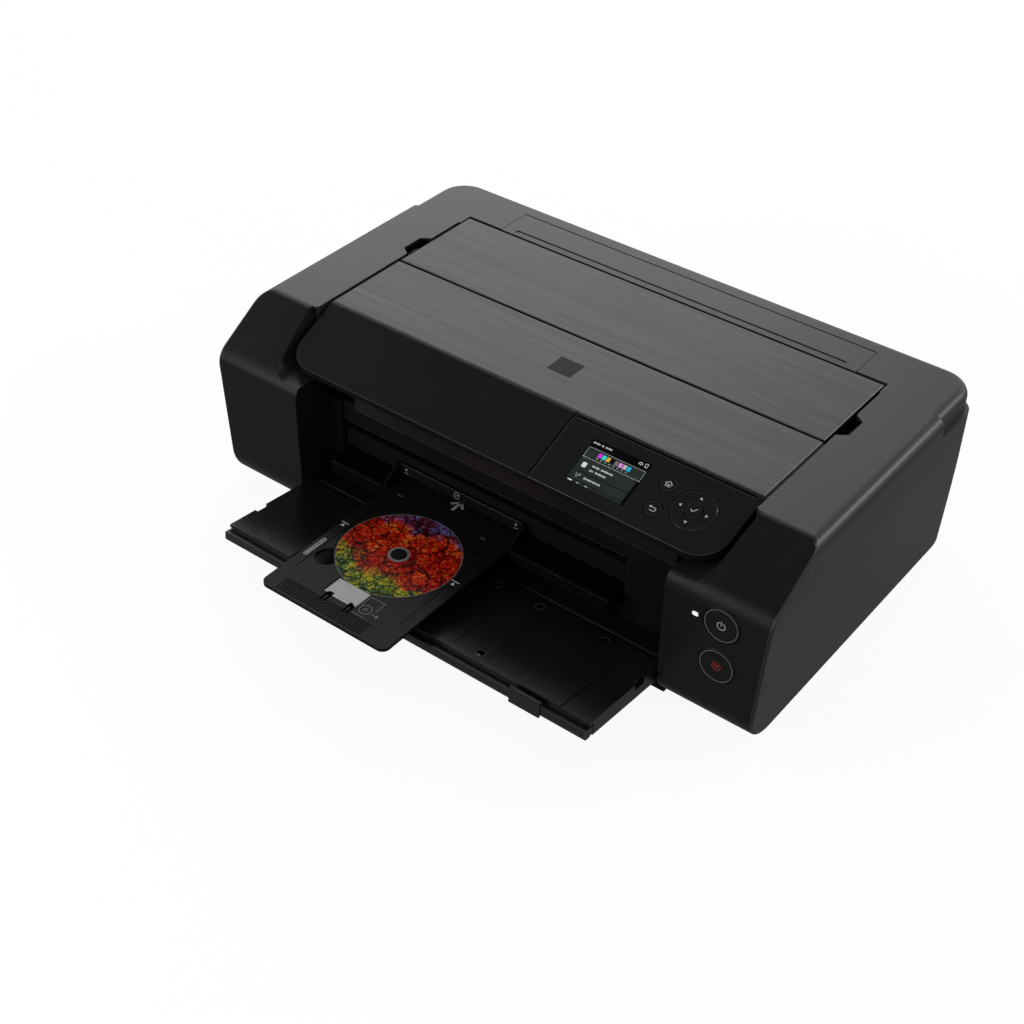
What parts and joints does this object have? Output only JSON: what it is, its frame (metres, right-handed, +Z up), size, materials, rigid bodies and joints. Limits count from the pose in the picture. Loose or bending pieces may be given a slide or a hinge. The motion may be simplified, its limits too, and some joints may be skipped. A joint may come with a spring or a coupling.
{
  "type": "inkjet photo printer",
  "caption": "Wide inkjet photo printer with its front tray open and a printable disc on a disc tray slid into the mouth.",
  "frame": {"origin": "on the table under the middle of the body, at the middle foot's lower face", "axes": "+X to the right seen from the front, +Y to the rear, +Z up"},
  "size_m": [0.639, 0.5342, 0.2],
  "materials": {
    "shell_grey": "satin",
    "block_black": "gloss",
    "cover_black": "gloss",
    "panel_black": "gloss",
    "brushed_metal": "brushed",
    "inner_black": "matte",
    "tray_black": "satin",
    "disc_tray_grey": "satin",
    "disc_print": "gloss",
    "display_glass": "gloss",
    "key_grey": "satin",
    "lamp_lens": "gloss",
    "steel": "satin",
    "chassis_steel": "satin",
    "roller_rubber": "matte",
    "gear_white": "satin",
    "ink_grey": "gloss",
    "board_green": "satin",
    "supply_black": "matte",
    "port_steel": "satin",
    "foot_rubber": "matte",
    "belt_rubber": "matte"
  },
  "bodies": {
    "printer": {"base_pan": "inner_black", "feet": "foot_rubber", "screws": "steel", "left_side_shell": "shell_grey", "right_side_shell": "shell_grey", "left_front_block": "block_black", "right_front_block": "block_black", "rear_housing": "shell_grey", "rear_cap": "shell_grey", "exit_frame": "inner_black", "front_sill": "inner_black", "tray_guide": "inner_black", "tray_gate": "inner_black", "chassis_frame": "chassis_steel", "carriage_rail": "steel", "platen": "inner_black", "bearing_plates": "inner_black", "star_holder": "inner_black", "maintenance_unit": "inner_black", "power_supply": "supply_black", "main_board": "board_green", "rear_ports": "port_steel", "power_inlet": "supply_black", "motors": "steel", "timing_belt": "belt_rubber", "rear_tray_base": "inner_black", "pinch_rollers": "inner_black", "status_lamp": "lamp_lens"},
    "top_cover": {"top_cover": "cover_black", "front_brushed_plate": "brushed_metal", "control_panel": "panel_black", "lcd_glass": "display_glass"},
    "home_button": {"home_button": "key_grey"},
    "back_button": {"back_button": "key_grey"},
    "ok_button": {"ok_button": "key_grey"},
    "direction_ring": {"direction_ring": "key_grey"},
    "power_button": {"power_button": "key_grey"},
    "stop_button": {"stop_button": "key_grey"},
    "rear_lid": {"rear_tray_lid": "inner_black", "rear_brushed_plate": "brushed_metal"},
    "manual_feed_cover": {"manual_feed_cover": "shell_grey"},
    "output_tray": {"output_tray": "tray_black"},
    "tray_extension": {"tray_extension": "tray_black"},
    "disc_tray": {"disc_tray": "disc_tray_grey"},
    "disc": {"disc": "disc_print"},
    "carriage": {"carriage": "inner_black", "print_head": "inner_black", "ink_tanks": "ink_grey"},
    "feed_roller": {"feed_roller": "roller_rubber", "feed_gear": "gear_white"},
    "idler_gear_1": {"idler_gear_1": "gear_white"},
    "idler_gear_2": {"idler_gear_2": "gear_white"},
    "idler_gear_3": {"idler_gear_3": "gear_white"},
    "exit_roller": {"exit_roller": "roller_rubber", "exit_gear": "gear_white"},
    "motor_pinion": {"motor_pinion": "gear_white"},
    "pickup_roller": {"pickup_roller": "roller_rubber"},
    "star_wheels": {"star_wheels": "steel"},
    "left_paper_guide": {"left_paper_guide": "inner_black"},
    "right_paper_guide": {"right_paper_guide": "inner_black"}
  },
  "joints": [
    {"name": "top_cover_hinge", "type": "hinge", "parent": "printer", "child": "top_cover", "pos_m": [0, -0.002, 0.194], "axis": [-1, 0, 0], "range_deg": [0, 45]},
    {"name": "rear_lid_hinge", "type": "hinge", "parent": "printer", "child": "rear_lid", "pos_m": [0, 0.1175, 0.196], "axis": [-1, 0, 0], "range_deg": [0, 110]},
    {"name": "manual_feed_hinge", "type": "hinge", "parent": "printer", "child": "manual_feed_cover", "pos_m": [0, 0.164, 0.1976], "axis": [-1, 0, 0], "range_deg": [0, 100]},
    {"name": "output_tray_hinge", "type": "hinge", "parent": "printer", "child": "output_tray", "pos_m": [0, -0.1825, 0.0363], "axis": [-1, 0, 0], "range_deg": [0, 5]},
    {"name": "tray_extension_slide", "type": "slide", "parent": "output_tray", "child": "tray_extension", "axis": [0, -0.9945, 0.1045], "range_m": [0, 0.07]},
    {"name": "disc_tray_slide", "type": "slide", "parent": "printer", "child": "disc_tray", "axis": [0, 1, 0], "range_m": [-0.2, 0.06]},
    {"name": "disc_lift", "type": "slide", "parent": "disc_tray", "child": "disc", "axis": [0, 0, 1], "range_m": [0, 0.004]},
    {"name": "carriage_slide", "type": "slide", "parent": "printer", "child": "carriage", "axis": [1, 0, 0], "range_m": [-0.36, 0]},
    {"name": "left_guide_slide", "type": "slide", "parent": "printer", "child": "left_paper_guide", "axis": [1, 0, 0], "range_m": [0, 0.105]},
    {"name": "right_guide_slide", "type": "slide", "parent": "printer", "child": "right_paper_guide", "axis": [1, 0, 0], "range_m": [-0.105, 0]},
    {"name": "feed_spin", "type": "hinge", "parent": "printer", "child": "feed_roller", "pos_m": [0, 0.022, 0.063], "axis": [1, 0, 0], "continuous": true},
    {"name": "idler_1_spin", "type": "hinge", "parent": "printer", "child": "idler_gear_1", "pos_m": [0, -0.01535, 0.056], "axis": [1, 0, 0], "continuous": true},
    {"name": "idler_2_spin", "type": "hinge", "parent": "printer", "child": "idler_gear_2", "pos_m": [0, -0.05135, 0.056], "axis": [1, 0, 0], "continuous": true},
    {"name": "idler_3_spin", "type": "hinge", "parent": "printer", "child": "idler_gear_3", "pos_m": [0, -0.08735, 0.056], "axis": [1, 0, 0], "continuous": true},
    {"name": "exit_spin", "type": "hinge", "parent": "printer", "child": "exit_roller", "pos_m": [0, -0.11664, 0.0625], "axis": [1, 0, 0], "continuous": true},
    {"name": "pinion_spin", "type": "hinge", "parent": "printer", "child": "motor_pinion", "pos_m": [0, 0.046, 0.045], "axis": [1, 0, 0], "continuous": true},
    {"name": "pickup_spin", "type": "hinge", "parent": "printer", "child": "pickup_roller", "pos_m": [0, 0.04014, 0.11682], "axis": [1, 0, 0], "continuous": true},
    {"name": "star_spin", "type": "hinge", "parent": "printer", "child": "star_wheels", "pos_m": [0, -0.11664, 0.0842], "axis": [1, 0, 0], "continuous": true},
    {"name": "home_button_press", "type": "slide", "parent": "top_cover", "child": "home_button", "axis": [0, 0.3703, -0.9289], "range_m": [0, 0.0008], "stiffness_N_per_m": 400},
    {"name": "back_button_press", "type": "slide", "parent": "top_cover", "child": "back_button", "axis": [0, 0.3703, -0.9289], "range_m": [0, 0.0008], "stiffness_N_per_m": 400},
    {"name": "ok_button_press", "type": "slide", "parent": "top_cover", "child": "ok_button", "axis": [0, 0.3703, -0.9289], "range_m": [0, 0.0008], "stiffness_N_per_m": 400},
    {"name": "direction_ring_press", "type": "slide", "parent": "top_cover", "child": "direction_ring", "axis": [0, 0.3703, -0.9289], "range_m": [0, 0.0008], "stiffness_N_per_m": 400},
    {"name": "power_button_press", "type": "slide", "parent": "printer", "child": "power_button", "axis": [0, 1, 0], "range_m": [0, 0.0008], "stiffness_N_per_m": 400},
    {"name": "stop_button_press", "type": "slide", "parent": "printer", "child": "stop_button", "axis": [0, 1, 0], "range_m": [0, 0.0008], "stiffness_N_per_m": 400}
  ],
  "couplings": [
    {"joint": "right_guide_slide", "follows": "left_guide_slide", "ratio": -1},
    {"joint": "idler_1_spin", "follows": "feed_spin", "ratio": -1.1111},
    {"joint": "idler_2_spin", "follows": "feed_spin", "ratio": 1.1111},
    {"joint": "idler_3_spin", "follows": "feed_spin", "ratio": -1.1111},
    {"joint": "exit_spin", "follows": "feed_spin", "ratio": 1.6667},
    {"joint": "pinion_spin", "follows": "feed_spin", "ratio": -2}
  ]
}
